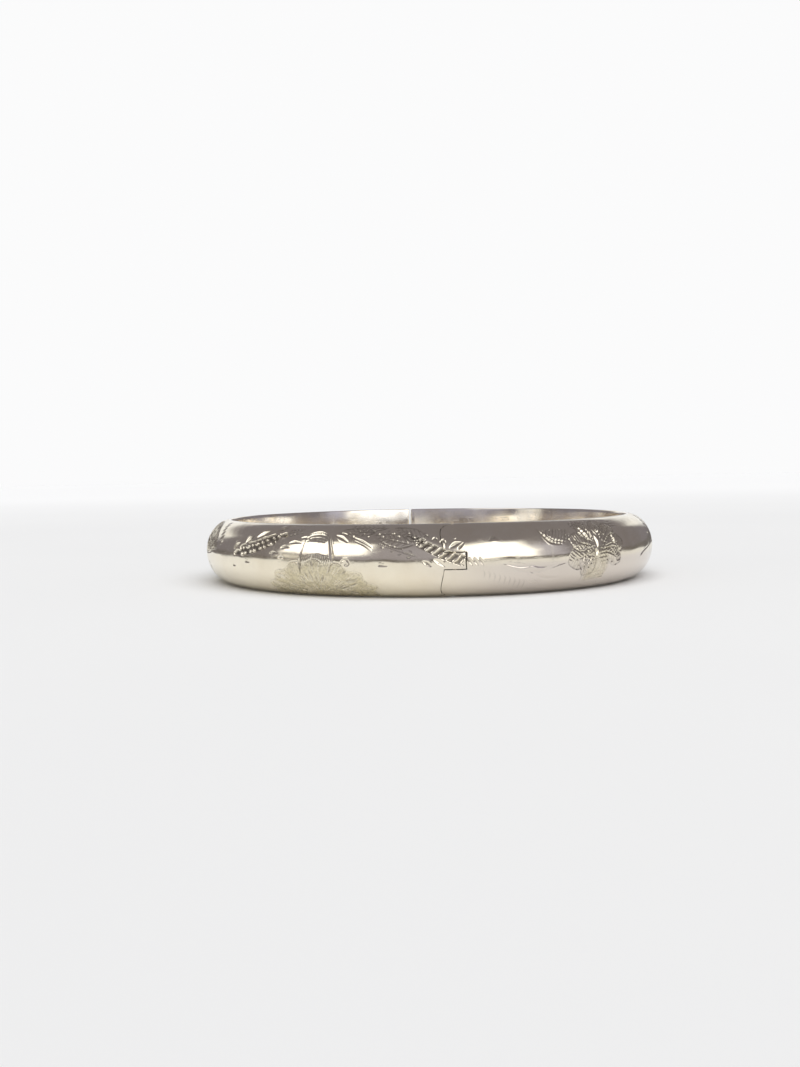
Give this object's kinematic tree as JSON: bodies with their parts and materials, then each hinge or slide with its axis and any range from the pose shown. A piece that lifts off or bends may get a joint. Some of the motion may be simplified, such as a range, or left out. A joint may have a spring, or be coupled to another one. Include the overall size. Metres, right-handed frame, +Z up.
{
  "type": "hinged bangle bracelet",
  "caption": "Oval hollow silver bangle with a domed engraved outside, a flat inner wall, a pinned hinge and a push-in tongue clasp with a thumb tab.",
  "frame": {"origin": "centre of the oval, on the surface that the bangle lies on", "axes": "+Z up, along the wrist; the hinge is at -Y and the clasp at +Y, the two ends of the long axis; the catch half is at -X and the tongue half at +X"},
  "size_m": [0.06, 0.0685, 0.0082],
  "materials": {
    "engraved_silver": "polished silver, hand engraved",
    "polished_silver": "polished silver with fine wear scratches",
    "sawn_silver": "filed silver, left dull inside the joints",
    "spring_silver": "hard-rolled silver strip and wire"
  },
  "bodies": {
    "catch_half": {"catch_half_outer_shell": "engraved_silver", "catch_half_inner_wall": "polished_silver", "catch_half_hinge_end_plate": "sawn_silver", "hinge_middle_knuckle": "sawn_silver", "middle_knuckle_bearer": "sawn_silver", "clasp_mouth_plate": "sawn_silver"},
    "tongue_half": {"tongue_half_outer_shell": "engraved_silver", "tongue_half_inner_wall": "polished_silver", "tongue_half_hinge_end_plate": "sawn_silver", "hinge_upper_knuckle": "sawn_silver", "hinge_lower_knuckle": "sawn_silver", "upper_knuckle_bearer": "sawn_silver", "lower_knuckle_bearer": "sawn_silver", "hinge_pin": "spring_silver", "tongue_end_plate": "sawn_silver", "tongue_base_leaf": "spring_silver"},
    "tongue_spring": {"tongue_free_leaf": "spring_silver", "thumb_tab": "polished_silver"}
  },
  "joints": [
    {"name": "main_hinge", "type": "hinge", "parent": "catch_half", "child": "tongue_half", "pos_m": [0, -0.03295, 0.0041], "axis": [0, 0, -1], "range_deg": [0, 50]},
    {"name": "tongue_flex", "type": "hinge", "parent": "tongue_half", "child": "tongue_spring", "pos_m": [-0.0056, 0.03165, 0.0041], "axis": [0, 0, -1], "range_deg": [0, 7], "stiffness_Nm_per_rad": 0.15}
  ]
}
